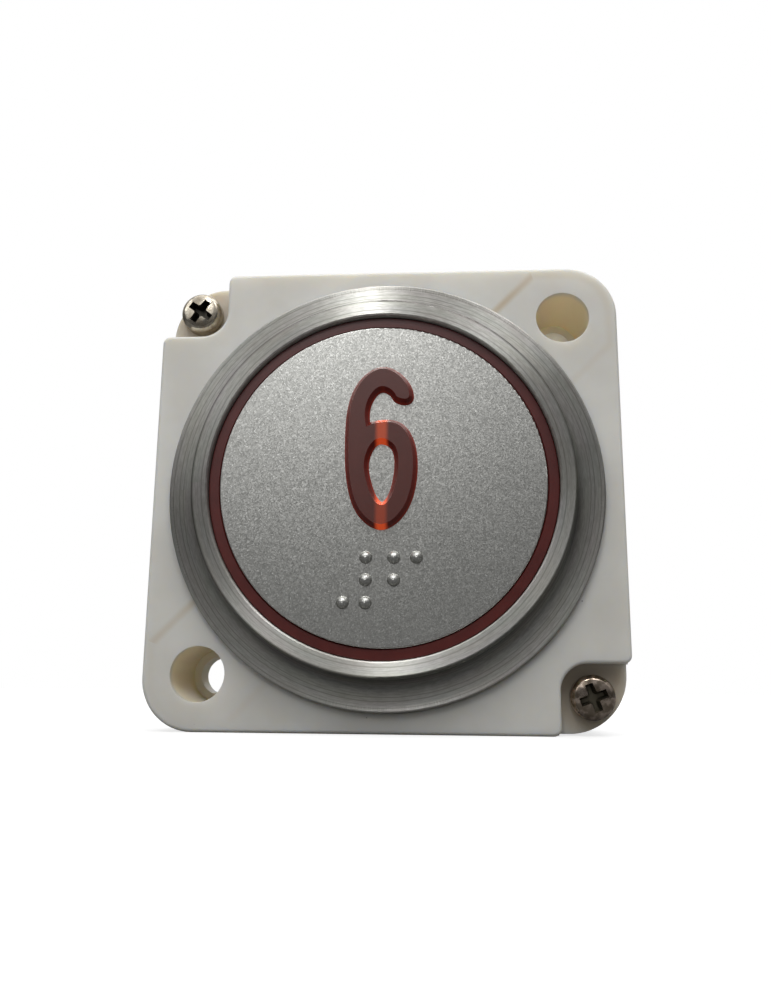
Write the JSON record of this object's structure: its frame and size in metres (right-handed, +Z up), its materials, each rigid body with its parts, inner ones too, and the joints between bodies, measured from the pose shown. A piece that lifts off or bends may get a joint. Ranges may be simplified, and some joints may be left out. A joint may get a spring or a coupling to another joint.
{
  "type": "lift push button",
  "caption": "Round illuminated lift push button with a raised numeral and Braille on a square white housing with a turned steel bezel.",
  "frame": {"origin": "on the button's axis, in the plane of the flange's front face, where the back of the panel seats", "axes": "+X to the right and +Z up as the user reads the numeral; the face looks along -Y, and the button is pressed along +Y"},
  "size_m": [0.055, 0.03, 0.055],
  "materials": {
    "housing_plastic": "natural white moulded plastic, slightly translucent, satin",
    "turned_steel": "stainless steel turned on a lathe, fine concentric tool marks",
    "satin_face": "bead-blasted satin silver with a fine sparkle",
    "red_lens": "translucent dark red plastic, semi-gloss",
    "screw_steel": "nickel-plated steel",
    "spring_steel": "drawn spring steel",
    "frosted_plastic": "frosted white plastic",
    "white_plastic": "opaque white moulded plastic",
    "board_laminate": "green glass-epoxy board with solder mask",
    "lamp_resin": "white lamp body with yellowish resin window",
    "chip_ceramic": "dark chip resistor",
    "black_plastic": "black moulded plastic",
    "tinned_contact": "tin-plated contact",
    "connector_plastic": "natural nylon connector shroud"
  },
  "bodies": {
    "housing": {"front_housing": "housing_plastic", "rear_housing": "housing_plastic", "housing_screws": "screw_steel", "bezel_ring": "turned_steel", "bezel_snap_ring": "spring_steel", "return_springs": "spring_steel", "light_chamber": "white_plastic", "circuit_board": "board_laminate", "board_screws": "screw_steel", "leds": "lamp_resin", "resistors": "chip_ceramic", "polarity_diode": "black_plastic", "switch_body": "black_plastic", "switch_spring": "spring_steel", "switch_pins": "tinned_contact", "connector_header": "connector_plastic", "connector_pins": "tinned_contact"},
    "pressel": {"face_plate": "satin_face", "braille_pins": "satin_face", "pressel_lens": "red_lens", "diffuser_disc": "frosted_plastic", "pressel_carrier": "white_plastic"},
    "switch_plunger": {"switch_stem": "white_plastic"}
  },
  "joints": [
    {"name": "press", "type": "slide", "parent": "housing", "child": "pressel", "axis": [0, 1, 0], "range_m": [0, 0.0015], "stiffness_N_per_m": 1000, "springref_m": -0.0025, "deforming": ["return_springs"]},
    {"name": "switch_travel", "type": "slide", "parent": "housing", "child": "switch_plunger", "axis": [0, 1, 0], "range_m": [0, 0.0015], "stiffness_N_per_m": 200, "springref_m": -0.0005, "deforming": ["switch_spring"]}
  ],
  "couplings": [
    {"joint": "switch_travel", "follows": "press", "ratio": 1}
  ]
}
